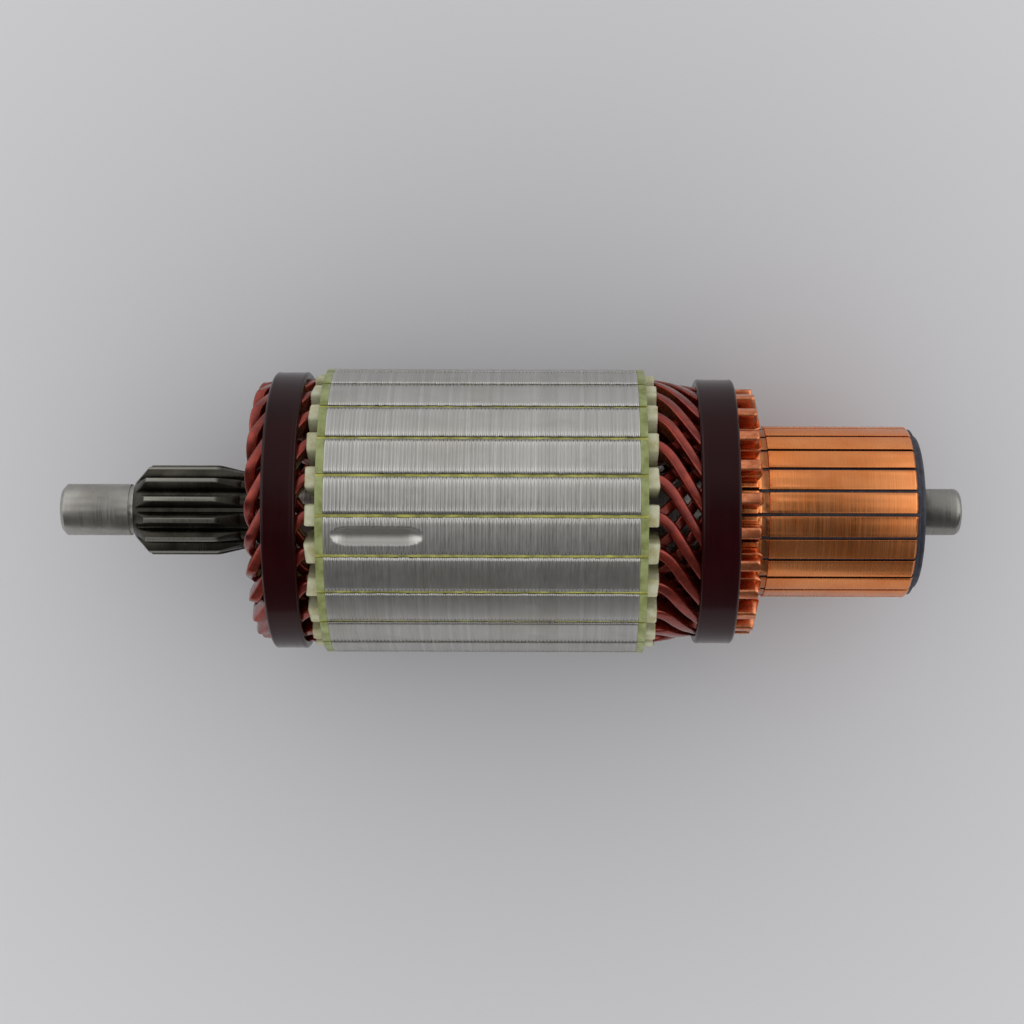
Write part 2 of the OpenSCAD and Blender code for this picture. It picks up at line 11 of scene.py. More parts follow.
import bmesh
import bpy
import numpy as np
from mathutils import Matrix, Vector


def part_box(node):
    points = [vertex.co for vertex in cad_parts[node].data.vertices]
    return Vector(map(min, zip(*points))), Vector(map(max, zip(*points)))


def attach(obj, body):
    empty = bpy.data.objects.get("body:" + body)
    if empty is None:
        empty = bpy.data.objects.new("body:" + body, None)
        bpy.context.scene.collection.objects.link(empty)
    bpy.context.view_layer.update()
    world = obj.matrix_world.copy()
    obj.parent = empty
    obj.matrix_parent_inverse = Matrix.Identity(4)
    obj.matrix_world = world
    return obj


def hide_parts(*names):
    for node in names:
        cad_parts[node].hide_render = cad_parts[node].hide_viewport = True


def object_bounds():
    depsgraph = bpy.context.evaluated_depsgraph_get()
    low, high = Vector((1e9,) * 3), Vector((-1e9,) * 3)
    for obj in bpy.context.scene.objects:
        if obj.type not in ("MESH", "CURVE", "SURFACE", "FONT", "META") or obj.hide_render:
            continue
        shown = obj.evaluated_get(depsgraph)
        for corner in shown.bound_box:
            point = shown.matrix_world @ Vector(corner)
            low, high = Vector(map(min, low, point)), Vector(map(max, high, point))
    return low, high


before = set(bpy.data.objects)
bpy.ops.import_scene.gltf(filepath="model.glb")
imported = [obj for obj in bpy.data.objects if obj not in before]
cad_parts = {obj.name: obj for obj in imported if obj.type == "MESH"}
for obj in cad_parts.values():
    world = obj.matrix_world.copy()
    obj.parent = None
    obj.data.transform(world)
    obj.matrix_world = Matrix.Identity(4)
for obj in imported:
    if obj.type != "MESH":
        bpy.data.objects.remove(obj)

MM = 0.001
cad_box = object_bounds()
print("CAD box, m:", [[round(v, 4) for v in corner] for corner in cad_box])


def span(node):
    """Lowest and highest X of a CAD node, in millimetres."""
    low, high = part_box(node)
    return low[0] / MM, high[0] / MM


def reach(node):
    """Largest distance of a CAD node from the shaft's axis, in millimetres."""
    points = np.array([v.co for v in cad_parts[node].data.vertices])
    return float(np.hypot(points[:, 1], points[:, 2]).max()) / MM


# %% [markdown]
# ## Stations along the shaft
# The pieces that are made again here have to meet the ones that stay, so each station and radius
# comes from the frame where a CAD node shows it, and from the winding's own sizes where none does.

# %% Stations, radii and the winding's sizes, in millimetres and degrees
SLOTS = 23
PITCH = 360 / SLOTS
SLOT_TURN = 2.1
core_x0, core_x1 = span("lamination_stack")
core_r = reach("lamination_stack")
cuff_x0, cuff_x1 = span("slot_liners")
riser_x, bars_end_x = span("bar_01")
pinion_band_x0, pinion_band_x1 = span("pinion_band")
comm_band_x0, comm_band_x1 = span("commutator_band")
pinion_band_r = reach("pinion_band")
comm_band_r = reach("commutator_band")
disc_t = core_x0 - span("pinion_end_disc")[0]
RISER_LEN, TRACK_R = 6.4, 24.45
track_x = riser_x + RISER_LEN
GEAR_FROM, GEAR_TO, GEAR_TIP_R = -107.5, -70.0, 12.7

WIRE_W, WIRE_H = 3.0, 5.0
BARE_W = 3.4
LAYER_GAP = 0.6
LEG_TOP = 38.0
MOUTH = 1.5
COIL_SPAN = 6
BAND_TOP = 35.7
BARE_TOP = 35.1
BARE_LOW = 25.05
PINION_DROP = 0.6
NOSE_DROP = 0.7
NOSE_REACH, NOSE_HALF, NOSE_SAG, NOSE_SPREAD = 22.2, 7.5, 1.1, 1.0
BARE_LEAD, TIP_PROUD, TIP_LEN, TIP_BULGE = 1.7, 0.15, 1.6, 0.65
nose_x = core_x0 - NOSE_REACH + WIRE_W / 2 + NOSE_SAG
bend_x0 = cuff_x0 + MOUTH / 2
bend_x1 = cuff_x1 - MOUTH
tail_x = riser_x - BARE_LEAD
tip_x = track_x + TIP_PROUD
print(f"core {core_x0:.1f} to {core_x1:.1f}, radius {core_r:.2f}")
print(f"bars {riser_x:.1f} to {bars_end_x:.1f}")


# %% [markdown]
# ## Helpers for surfaces
# Nearly every piece is a closed loop of points carried along a path, so one function joins rings of
# points into faces. Whole arrays go into the mesh at once.

# %% Rings to mesh
def rings_to_faces(rings, sides, closed_path=False):
    """Quads between neighbouring rings, counted row by row; each ring closes on itself."""
    rows = np.arange(rings if closed_path else rings - 1)
    a, s = np.meshgrid(rows, np.arange(sides), indexing="ij")
    b = (a + 1) % rings
    t = (s + 1) % sides
    return np.stack([a * sides + s, a * sides + t, b * sides + t, b * sides + s], -1).reshape(-1, 4)


def add_piece(name, points, quads, ends=(), smooth=True, **marks):
    """Mesh object from points in millimetres, quads, end polygons and one number per vertex."""
    mesh = bpy.data.meshes.new(name)
    points = np.asarray(points, np.float32).reshape(-1, 3) * MM
    faces = [np.asarray(quads, np.int32).reshape(-1)] + [np.asarray(e, np.int32) for e in ends]
    sizes = np.concatenate([np.full(len(quads), 4), [len(e) for e in ends]]).astype(np.int32)
    mesh.vertices.add(len(points))
    mesh.vertices.foreach_set("co", points.reshape(-1))
    corners = np.concatenate(faces).astype(np.int32)
    mesh.loops.add(len(corners))
    mesh.loops.foreach_set("vertex_index", corners)
    mesh.polygons.add(len(sizes))
    starts = np.concatenate([[0], np.cumsum(sizes)[:-1]]).astype(np.int32)
    mesh.polygons.foreach_set("loop_start", starts)
    mesh.polygons.foreach_set("use_smooth", np.full(len(sizes), smooth))
    mesh.update(calc_edges=True)
    mesh.validate()
    for mark, values in marks.items():
        layer = mesh.attributes.new(mark, "FLOAT", "POINT")
        layer.data.foreach_set("value", np.asarray(values, np.float32).reshape(-1))
    piece = bpy.data.objects.new(name, mesh)
    bpy.context.scene.collection.objects.link(piece)
    return piece


def join_rings(name, rings, closed_path=False, **marks):
    """Piece from an array [ring, point, xyz]; an open path gets a flat polygon at each end."""
    count, sides = rings.shape[:2]
    quads = rings_to_faces(count, sides, closed_path)
    ends = []
    if not closed_path:
        ends = [np.arange(sides)[::-1], (count - 1) * sides + np.arange(sides)]
    return add_piece(name, rings, quads, ends, **marks)


def around(points, degrees):
    """Points turned about X: the angle counts from +Z towards -Y."""
    a = np.radians(degrees)
    x, y, z = points[..., 0], points[..., 1], points[..., 2]
    return np.stack([x, y * np.cos(a) - z * np.sin(a), y * np.sin(a) + z * np.cos(a)], -1)


def at(x, r, degrees):
    """Points at station x, radius r and angle from +Z towards -Y."""
    a = np.radians(degrees)
    x, r, a = np.broadcast_arrays(x, r, a)
    return np.stack([x, -r * np.sin(a), r * np.cos(a)], -1)


def smoothstep(v, low, high):
    """0 below low, 1 above high, and an S between them."""
    t = np.clip((v - low) / (high - low), 0, 1)
    return t * t * (3 - 2 * t)


def outward_faces(piece):
    """Turns every face of a closed piece outwards."""
    work = bmesh.new()
    work.from_mesh(piece.data)
    bmesh.ops.recalc_face_normals(work, faces=work.faces)
    work.to_mesh(piece.data)
    work.free()


def finish_piece(piece, finish, slot, *nodes):
    """Gives the piece its finish, hangs it on the rotor and hides the CAD nodes it stands for."""
    piece.data.materials.clear()
    piece.data.materials.append(finish)
    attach(piece, "root")
    if nodes:
        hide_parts(*nodes)
    return piece


def softened_copy(name, node, edge, angle=35, segments=2):
    """Copy of a CAD node with its triangles merged and its edges rounded by edge millimetres."""
    work = bmesh.new()
    work.from_mesh(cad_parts[node].data)
    bmesh.ops.remove_doubles(work, verts=work.verts, dist=0.002 * MM)
    bmesh.ops.dissolve_limit(
        work, angle_limit=math.radians(0.5), verts=work.verts, edges=work.edges)
    mesh = bpy.data.meshes.new(name)
    work.to_mesh(mesh)
    work.free()
    mesh.polygons.foreach_set("use_smooth", np.ones(len(mesh.polygons), bool))
    piece = bpy.data.objects.new(name, mesh)
    bpy.context.scene.collection.objects.link(piece)
    bevel = piece.modifiers.new("worn_edges", "BEVEL")
    bevel.width = edge * MM
    bevel.segments = segments
    bevel.limit_method = "ANGLE"
    bevel.angle_limit = math.radians(angle)
    bevel.harden_normals = True
    return piece


# %% [markdown]
# ## Helpers for finishes
# Each finish is a Principled shader whose colour, roughness and bump come from noise in the
# object's own coordinates, so it stays put from any side.

# %% Node helpers
def srgb(r, g, b):
    """Linear colour from the 0 to 255 values that a screen shows."""
    c = np.array([r, g, b]) / 255
    linear = np.where(c <= 0.04045, c / 12.92, ((c + 0.055) / 1.055) ** 2.4)
    return (*[float(v) for v in linear], 1.0)


def new_finish(name, **sockets):
    """Material with a Principled shader; a socket's spaces are written as underscores."""
    finish = bpy.data.materials.new(name)
    finish.use_nodes = True
    shader = finish.node_tree.nodes["Principled BSDF"]
    for socket, value in sockets.items():
        shader.inputs[socket.replace("_", " ")].default_value = value
    return finish, finish.node_tree, shader


def node(tree, kind, inputs=None, **settings):
    """Node of that kind; an input is linked if it is a socket and set if it is a value."""
    made = tree.nodes.new(kind)
    for key, value in settings.items():
        setattr(made, key, value)
    for socket, value in (inputs or {}).items():
        if isinstance(value, bpy.types.NodeSocket):
            tree.links.new(value, made.inputs[socket])
        else:
            made.inputs[socket].default_value = value
    return made


def own_space(tree, x=1.0, y=1.0, z=1.0, turn=(0, 0, 0)):
    """The object's coordinates in metres, stretched along each axis."""
    where = node(tree, "ShaderNodeTexCoord").outputs["Object"]
    scale = {"Vector": where, "Scale": (x, y, z), "Rotation": turn}
    return node(tree, "ShaderNodeMapping", scale).outputs["Vector"]


def grain(tree, vector, scale, detail=4.0):
    """Smooth noise from 0 to 1."""
    inputs = {"Vector": vector, "Scale": scale, "Detail": detail, "Roughness": 0.55}
    return node(tree, "ShaderNodeTexNoise", inputs).outputs["Fac"]


def fade(tree, value, low, high, start=0.0, end=1.0):
    """Carries value from low..high to start..end, without overshoot."""
    inputs = {0: value, 1: low, 2: high, 3: start, 4: end}
    return node(tree, "ShaderNodeMapRange", inputs).outputs[0]


def sums(tree, operation, first, second=0.0):
    """One arithmetic step."""
    return node(tree, "ShaderNodeMath", {0: first, 1: second}, operation=operation).outputs[0]


def blend(tree, share, first, second):
    """first where share is 0 and second where it is 1."""
    inputs = {0: share, 6: first, 7: second}
    return node(tree, "ShaderNodeMix", inputs, data_type="RGBA").outputs[2]


def mark(tree, name):
    """A number stored on the piece's own vertices."""
    return node(tree, "ShaderNodeAttribute", attribute_name=name).outputs["Fac"]


def relief(tree, height, depth):
    """Bump whose height runs over depth millimetres."""
    inputs = {"Height": height, "Distance": depth * MM, "Strength": 1.0}
    return node(tree, "ShaderNodeBump", inputs).outputs["Normal"]


def along_and_out(tree):
    """X and the radius, the root of Y squared plus Z squared, both in millimetres."""
    where = own_space(tree, 1000, 1000, 1000)
    split = node(tree, "ShaderNodeSeparateXYZ", {0: where}).outputs
    flat = node(tree, "ShaderNodeCombineXYZ", {1: split[1], 2: split[2]}).outputs[0]
    radius = node(tree, "ShaderNodeVectorMath", {0: flat}, operation="LENGTH").outputs["Value"]
    return split[0], radius


def lay(tree, shader, **sockets):
    """Links values to the shader's sockets."""
    for socket, value in sockets.items():
        tree.links.new(value, shader.inputs[socket.replace("_", " ")])


# %% [markdown]
# ## Finishes
# The core's sheets are bare stamped steel, turned to size, so they are bright with fine scratches
# round the shaft; a painted shade darkens the seams between sheets and the slots' lips.

# %% Core sheets
def core_steel_finish():
    """Turned sheet edges: cloudy grey, with painted shade in the seams and the slots' lips, bright
    in the balancing groove.
    """
    finish, tree, shader = new_finish("core_steel", Metallic=1.0)
    radius = along_and_out(tree)[1]
    machined = mark(tree, "machined")
    cloud = grain(tree, own_space(tree, 0.5, 1, 1), 60, 3)
    fine = grain(tree, own_space(tree, 1, 0.12, 0.12), 2600, 2)
    smear = grain(tree, own_space(tree, 0.35, 1, 1), 160, 4)
    bright = blend(tree, mark(tree, "sheet_tone"), srgb(182, 181, 177), srgb(196, 195, 191))
    colour = blend(tree, fade(tree, cloud, 0.5, 0.7, 0, 0.5), bright, srgb(176, 170, 158))
    colour = blend(tree, fade(tree, smear, 0.55, 0.75, 0, 0.3), colour, srgb(150, 145, 136))
    # painted shade: below the rim, in the seams between sheets and down the slots' lips, the colour
    # goes near-black, except in the machined groove
    low = sums(tree, "MULTIPLY", fade(tree, radius, core_r - 0.4, core_r - 0.08, 1, 0),
               sums(tree, "SUBTRACT", 1.0, machined))
    colour = blend(tree, low, colour, srgb(38, 34, 29))
    colour = blend(tree, machined, colour, srgb(196, 194, 188))
    rough = fade(tree, fine, 0.3, 0.7, 0.3, 0.44)
    lay(tree, shader, Base_Color=colour, Roughness=rough)
    lay(tree, shader, Normal=relief(tree, fine, 0.02))
    return finish


core_steel = core_steel_finish()


# %% Shaft steel: ground journals, a dark gear with rubbed tips, and a turned neck
def shaft_steel_finish():
    """Ground steel with rings; between the gear's ends the flanks are dark and the tips rubbed."""
    finish, tree, shader = new_finish("shaft_steel", Metallic=1.0)
    x, radius = along_and_out(tree)
    rings = grain(tree, own_space(tree, 1, 0.03, 0.03), 2600, 2)
    cloud = grain(tree, own_space(tree), 120, 4)
    ground = blend(tree, fade(tree, cloud, 0.35, 0.7), srgb(176, 174, 168), srgb(150, 147, 139))
    in_gear = sums(tree, "MULTIPLY", fade(tree, x, GEAR_FROM, GEAR_FROM + 0.1),
                   fade(tree, x, GEAR_TO, GEAR_TO - 0.1))
    tip = fade(tree, radius, GEAR_TIP_R - 0.15, GEAR_TIP_R + 0.15)
    dark = blend(tree, fade(tree, cloud, 0.4, 0.65), srgb(74, 72, 64), srgb(48, 46, 41))
    toothed = blend(tree, tip, dark, srgb(150, 148, 138))
    colour = blend(tree, in_gear, ground, toothed)
    far_end = fade(tree, x, 112, 114)
    colour = blend(tree, far_end, colour, srgb(150, 148, 142))
    rough = fade(tree, rings, 0.3, 0.7, 0.24, 0.42)
    lay(tree, shader, Base_Color=colour, Roughness=rough, Normal=relief(tree, rings, 0.012))
    return finish


shaft_steel = shaft_steel_finish()


# %% Enamelled copper, bare and brazed at the ends
def wire_finish():
    """Red-brown enamel that gives way to bare copper where the piece's own mark says so."""
    finish, tree, shader = new_finish("enamelled_copper", Coat_Weight=0.6, Coat_Roughness=0.12)
    bare = mark(tree, "bare")
    cloud = grain(tree, own_space(tree), 260, 4)
    streak = grain(tree, own_space(tree, 0.5, 1, 1), 900, 3)
    enamel = blend(tree, fade(tree, cloud, 0.35, 0.7), srgb(150, 52, 34), srgb(104, 26, 18))
    copper = blend(tree, fade(tree, streak, 0.4, 0.7), srgb(228, 142, 96), srgb(188, 96, 52))
    colour = blend(tree, bare, enamel, copper)
    lay(tree, shader, Base_Color=colour, Roughness=fade(tree, streak, 0.3, 0.7, 0.2, 0.38))
    lay(tree, shader, Metallic=fade(tree, bare, 0, 1, 0.82, 1.0), Normal=relief(tree, streak, 0.04))
    return finish


enamelled_copper = wire_finish()


# %% Commutator copper, freshly turned
def track_finish():
    """Bright turned copper, duller down in the slots and on the risers."""
    finish, tree, shader = new_finish("commutator_copper", Metallic=1.0)
    radius = along_and_out(tree)[1]
    turning = grain(tree, own_space(tree, 1, 0.02, 0.02), 3000, 2)
    cloud = grain(tree, own_space(tree), 90, 4)
    colour = blend(tree, fade(tree, cloud, 0.35, 0.7), srgb(244, 156, 96), srgb(232, 136, 74))
    dull = fade(tree, radius, TRACK_R - 0.5, TRACK_R - 0.15, 1, 0)
    colour = blend(tree, dull, colour, srgb(150, 96, 66))
    lay(tree, shader, Base_Color=colour, Roughness=fade(tree, turning, 0.3, 0.7, 0.16, 0.34))
    lay(tree, shader, Normal=relief(tree, turning, 0.02))
    return finish


commutator_copper = track_finish()


# %% Resin of the commutator body
def resin_finish():
    """Dark blue-grey moulding with a fine cloud."""
    finish, tree, shader = new_finish("moulding_resin")
    cloud = grain(tree, own_space(tree), 500, 5)
    colour = blend(tree, fade(tree, cloud, 0.35, 0.7), srgb(52, 54, 68), srgb(36, 37, 46))
    lay(tree, shader, Base_Color=colour, Roughness=fade(tree, cloud, 0.3, 0.7, 0.4, 0.6))
    lay(tree, shader, Normal=relief(tree, cloud, 0.05))
    return finish


moulding_resin = resin_finish()


# %% Dark red varnished bands
def band_finish():
    """Dark red resin, nearly smooth, with faint strands round the shaft."""
    finish, tree, shader = new_finish("band_glass_resin", Specular_IOR_Level=0.2)
    strands = grain(tree, own_space(tree, 1, 0.05, 0.05), 1400, 3)
    cloud = grain(tree, own_space(tree), 80, 3)
    colour = blend(tree, fade(tree, cloud, 0.35, 0.7), srgb(38, 4, 7), srgb(30, 2, 4))
    lay(tree, shader, Base_Color=colour, Roughness=fade(tree, strands, 0.3, 0.7, 0.12, 0.2))
    lay(tree, shader, Normal=relief(tree, strands, 0.004))
    return finish


band_glass_resin = band_finish()


# %% Slot paper, end discs, wedges and sleeves
def paper_finish():
    """Pale folded paper with fibres."""
    finish, tree, shader = new_finish("slot_paper", Subsurface_Weight=0.1)
    fibre = grain(tree, own_space(tree, 1, 1, 1), 1800, 5)
    cloud = grain(tree, own_space(tree), 300, 4)
    colour = blend(tree, fade(tree, cloud, 0.4, 0.7), srgb(208, 204, 172), srgb(176, 166, 118))
    lay(tree, shader, Base_Color=colour, Roughness=fade(tree, fibre, 0.3, 0.7, 0.5, 0.7))
    lay(tree, shader, Normal=relief(tree, fibre, 0.05))
    return finish


def disc_finish():
    """Yellow-green glass laminate under thin varnish."""
    finish, tree, shader = new_finish("end_disc_laminate", Coat_Weight=0.25, Coat_Roughness=0.2)
    fibre = grain(tree, own_space(tree, 4, 1, 1), 1300, 4)
    cloud = grain(tree, own_space(tree), 260, 4)
    colour = blend(tree, fade(tree, cloud, 0.35, 0.68), srgb(156, 166, 108), srgb(116, 122, 58))
    lay(tree, shader, Base_Color=colour, Roughness=fade(tree, fibre, 0.3, 0.7, 0.35, 0.5))
    lay(tree, shader, Normal=relief(tree, fibre, 0.05))
    return finish


def wedge_finish():
    """Yellow-green strip, lighter in patches."""
    finish, tree, shader = new_finish("slot_wedge_laminate")
    cloud = grain(tree, own_space(tree, 0.5, 1, 1), 420, 4)
    colour = blend(tree, fade(tree, cloud, 0.4, 0.62), srgb(150, 148, 70), srgb(206, 202, 104))
    lay(tree, shader, Base_Color=colour, Roughness=fade(tree, cloud, 0.3, 0.7, 0.4, 0.6))
    return finish


def sleeve_finish():
    """Dark green-grey laminate between the winding's layers."""
    finish, tree, shader = new_finish("sleeve_laminate")
    cloud = grain(tree, own_space(tree), 400, 4)
    colour = blend(tree, fade(tree, cloud, 0.4, 0.65), srgb(28, 36, 32), srgb(44, 48, 40))
    lay(tree, shader, Base_Color=colour, Roughness=fade(tree, cloud, 0.3, 0.7, 0.45, 0.65))
    return finish


def bush_finish():
    """Turned steel."""
    finish, tree, shader = new_finish("bush_steel", Metallic=1.0)
    rings = grain(tree, own_space(tree, 1, 0.05, 0.05), 1500, 3)
    colour = blend(tree, fade(tree, rings, 0.3, 0.7), srgb(150, 148, 144), srgb(120, 118, 114))
    lay(tree, shader, Base_Color=colour, Roughness=fade(tree, rings, 0.3, 0.7, 0.3, 0.45))
    return finish


slot_paper = paper_finish()
end_disc_laminate = disc_finish()
slot_wedge_laminate = wedge_finish()
sleeve_laminate = sleeve_finish()
bush_steel = bush_finish()
print("finishes:", len(bpy.data.materials))


# %% [markdown]
# ## Core
# The core is 85 stamped sheets. One outline, with 23 slots that are nearly closed at the rim, is
# repeated along the shaft; each sheet has three rings, so that a fine groove shows between two
# neighbours. The stamping leaves the slots' lips a little out of line from sheet to sheet.

# %% The outline of one sheet
SHEETS = 85
SLOT_W = 4.1
SLOT_LOW = 26.85
LIP_T = 1.2
OPENING = 0.9
TOOTH_STEPS = 9
BALANCED_TOOTH_STEPS = 3 * TOOTH_STEPS
SLOT_POINTS = 8
BORE_R = 11.02
rng = np.random.default_rng(7)


def sheet_outline():
    """Radius, angle and lip share of a sheet's points: slot, lips and tooth arc, slot by slot."""
    top = core_r - LIP_T
    half_slot = np.degrees(np.arcsin(SLOT_W / 2 / top))
    low_half = np.degrees(np.arcsin(SLOT_W / 2 / SLOT_LOW))
    half_lip = np.degrees(np.arcsin(OPENING / 2 / core_r))
    slot_r = [core_r, top, top, SLOT_LOW, SLOT_LOW, top, top, core_r]
    slot_a = [-half_lip, -half_lip, -half_slot, -low_half, low_half, half_slot, half_lip, half_lip]
    lips = [-1, -1, 0, 0, 0, 0, 1, 1]
    radii, angles, shares = [], [], []
    for slot in range(SLOTS):
        middle = SLOT_TURN + slot * PITCH
        count = BALANCED_TOOTH_STEPS if slot == 0 else TOOTH_STEPS
        arc = np.linspace(half_lip, PITCH - half_lip, count + 2)[1:-1]
        radii.append(np.concatenate([slot_r, np.full(count, core_r)]))
        angles.append(np.concatenate([slot_a, arc]) + middle)
        shares.append(np.concatenate([lips, np.zeros(count)]))
    return np.concatenate(radii), np.concatenate(angles), np.concatenate(shares)


# %% The stack, with its balancing groove
GROOVE_LEN, GROOVE_DEPTH, GROOVE_R, GROOVE_RIM, GROOVE_FROM = 24.9, 1.5, 9.0, 2.7, 2.0


def groove_depth_at(x, radius, degrees):
    """How much a disc with a rounded rim takes off as it is sunk into one tooth and moved along."""
    end_run = math.sqrt(GROOVE_DEPTH * (2 * GROOVE_R - GROOVE_DEPTH))
    off = np.radians(degrees - SLOT_TURN - PITCH / 2)
    y, z = radius * np.sin(off), radius * np.cos(off)
    past = np.abs(x - (core_x0 + GROOVE_FROM + GROOVE_LEN / 2)) - (GROOVE_LEN / 2 - end_run)
    past = np.maximum(past, 0)
    disc = GROOVE_R - GROOVE_RIM + np.sqrt(np.clip(GROOVE_RIM ** 2 - y ** 2, 0, None))
    floor = core_r - GROOVE_DEPTH + GROOVE_R - np.sqrt(np.clip(disc ** 2 - past ** 2, 0, None))
    inside = (np.abs(y) < GROOVE_RIM) & (past < end_run + 1) & (z > 0)
    return np.where(inside, np.minimum(z, floor) - z, 0.0)


def core_stack():
    """Rings of the outline: a groove, the sheet's near edge and its far edge, 85 times over."""
    radius, degrees, lip = sheet_outline()
    sheet = (core_x1 - core_x0) / SHEETS
    start = core_x0 + sheet * np.arange(SHEETS)
    x = np.stack([start, start + 0.13 * sheet, start + 0.87 * sheet], 1).reshape(-1)
    x = np.append(x, core_x1)
    in_groove = np.append(np.tile([1.0, 0, 0], SHEETS), 1.0)
    own = np.append(np.repeat(np.arange(SHEETS), 3), SHEETS - 1)
    rim = np.abs(radius - core_r) < 0.01
    proud = rng.uniform(-0.045, 0.03, SHEETS)[own]
    ragged = rng.normal(0, 0.05, (SHEETS, SLOTS * 2))
    points_each = [SLOT_POINTS + BALANCED_TOOTH_STEPS] + [SLOT_POINTS + TOOTH_STEPS] * (SLOTS - 1)
    which = np.repeat(np.arange(SLOTS), points_each)
    wander = ragged[own][:, which * 2 + (lip > 0)] * np.abs(lip)
    angle = degrees[None] + np.degrees(wander / core_r)
    r = np.repeat(radius[None], len(x), 0)
    depth = groove_depth_at(x[:, None], r, angle) * rim
    cut = depth < -0.02
    from_slot = np.abs((degrees - SLOT_TURN + PITCH / 2) % PITCH - PITCH / 2)
    from_slot = np.radians(from_slot) * core_r
    open_seam = 0.05 + 0.35 * np.exp(-((from_slot - 0.45) / 0.9) ** 2)
    notch = in_groove[:, None] * open_seam[None]
    r = r + rim * (proud[:, None] * 0.4 - notch) * np.where(cut, 0.1, 1.0) + depth
    rings = at(x[:, None], r, angle)
    tone = np.repeat(rng.random(SHEETS)[own][:, None], len(radius), 1)
    bore = at(x[[0, -1], None], BORE_R, degrees[None])
    count = len(radius)
    points = np.concatenate([bore[:1], rings, bore[1:]])
    tone = np.concatenate([tone[:1], tone, tone[-1:]])
    quads = rings_to_faces(len(points), count, closed_path=True)
    return add_piece("core_stack", points, quads, sheet_tone=tone,
                     machined=np.concatenate([cut[:1], cut, cut[-1:]]))


core = core_stack()
outward_faces(core)
finish_piece(core, core_steel, "core_steel", "lamination_stack")
print("core:", len(core.data.polygons), "faces")


# %% [markdown]
# ## Hairpin coils
# Each coil is one rectangular copper bar. It runs through a slot in the outer layer, slants to the
# nose, falls into the inner layer there, comes back through another slot and ends in a riser, as
# its own other end does. The route is a list of stations, [x, radius, angle, 1 on a cone, width,
# end slant], and a rounded section is carried along it.

# %% The route's laws
half_span = COIL_SPAN * PITCH / 2
outer_turn = 2.5 * PITCH
inner_turn = (COIL_SPAN - 1) * PITCH - outer_turn
DROP_BY, PINION_DROP_BY, NOSE_DROP_FROM = 0.55, 0.26, 0.63


def s_bend(t, a, b):
    """Share of the turn done at t: the speed rises over the share a, holds, and falls over b."""
    full = 1 - a / 2 - b / 2
    rising = t * t / (2 * a)
    falling = full - (1 - t) ** 2 / (2 * max(b, 1e-6))
    return np.where(t < a, rising, np.where(t > 1 - b, falling, t - a / 2)) / full


def stations(x, r, turn, level=1.0, width=WIRE_W, slant=0.0):
    """Array of stations from values that may be single numbers."""
    return np.stack(np.broadcast_arrays(x, r, turn, level, width, slant), -1).astype(float)


def commutator_leg(inner, sway):
    """From the cuff to the welded tip; the leg drops to the band and steps down to the riser."""
    down = WIRE_H + LAYER_GAP if inner else 0.0
    first = 2 * half_span if inner else 0.0
    turn = -inner_turn if inner else outer_turn
    t = np.linspace(0, 1, 34)
    top = LEG_TOP - (LEG_TOP - BAND_TOP) * np.minimum(1, t / DROP_BY)
    swing = first + turn * s_bend(t, 0.3, 0.3) + sway * np.sin(np.pi * t)
    leg = stations(bend_x1 + (tail_x - bend_x1) * t, top - WIRE_H / 2 - down, swing)
    middle = BARE_LOW + WIRE_H / 2 if inner else BARE_TOP - WIRE_H / 2
    u = np.linspace(0, 1, 9)
    bulge = -TIP_BULGE if inner else TIP_BULGE
    straight = stations([riser_x, tip_x - TIP_LEN], middle, first + turn, 1, BARE_W)
    tip = stations(tip_x - TIP_LEN * (1 - np.sin(u * np.pi / 2)), middle, first + turn, 1,
                   BARE_W * (0.34 + 0.66 * np.cos(u * np.pi / 2) ** 0.7), bulge * u)
    return np.concatenate([leg, straight, tip[1:]])


def pinion_leg(inner, sway):
    """From the cuff to where the nose begins; the inner layer drops away from the outer one."""
    down = WIRE_H + LAYER_GAP if inner else 0.0
    way = -1 if inner else 1
    first = 2 * half_span if inner else 0.0
    t = np.linspace(0, 1, 24)
    top = pinion_top(t) - (NOSE_SPREAD * np.maximum(0, t - PINION_DROP_BY) / (1 - PINION_DROP_BY)
                           if inner else 0.0)
    swing = first + way * (half_span - NOSE_HALF) * s_bend(t, 0.3, 0.0)
    swing = swing + way * sway * np.sin(np.pi * t) ** 2
    return stations(bend_x0 + (nose_x - bend_x0) * t, top - WIRE_H / 2 - down, swing)


def pinion_top(t):
    """Height of the outer layer's top: a quick drop under the band and a slow one to the nose."""
    return (LEG_TOP - PINION_DROP * np.minimum(1, t / PINION_DROP_BY)
            - NOSE_DROP * np.maximum(0, t - NOSE_DROP_FROM) / (1 - NOSE_DROP_FROM))


def nose():
    """A parabola about the shaft that falls from the outer layer to the inner one halfway round."""
    u = np.linspace(-1, 1, 22)[1:-1]
    fall = (WIRE_H + LAYER_GAP + NOSE_SPREAD) * smoothstep(u, -1, 1)
    return stations(nose_x - NOSE_SAG * (1 - u * u), pinion_top(1.0) - WIRE_H / 2 - fall,
                    half_span + NOSE_HALF * u, 0)


def coil_route(sway):
    """Tip, commutator leg, pinion leg, nose, and back again in the inner layer."""
    return np.concatenate([commutator_leg(False, sway[0])[::-1], pinion_leg(False, sway[1]),
                           nose(), pinion_leg(True, sway[1])[::-1], commutator_leg(True, sway[2])])


# %% The bar's section and its sweep
def bar_section(corner=0.75, steps=4):
    """Rounded rectangle, [across, height] in millimetres, counter-clockwise."""
    a = np.radians(np.linspace(0, 90, steps))
    c, s = np.cos(a), np.sin(a)
    across, high = WIRE_W / 2 - corner, WIRE_H / 2 - corner
    first = np.stack([across + corner * c, high + corner * s], 1)
    second = np.stack([-across - corner * s, high + corner * c], 1)
    quarter = np.concatenate([first, second])
    return np.concatenate([quarter, -quarter])


def unit(v):
    """Vectors of length one."""
    return v / np.linalg.norm(v, axis=-1, keepdims=True)


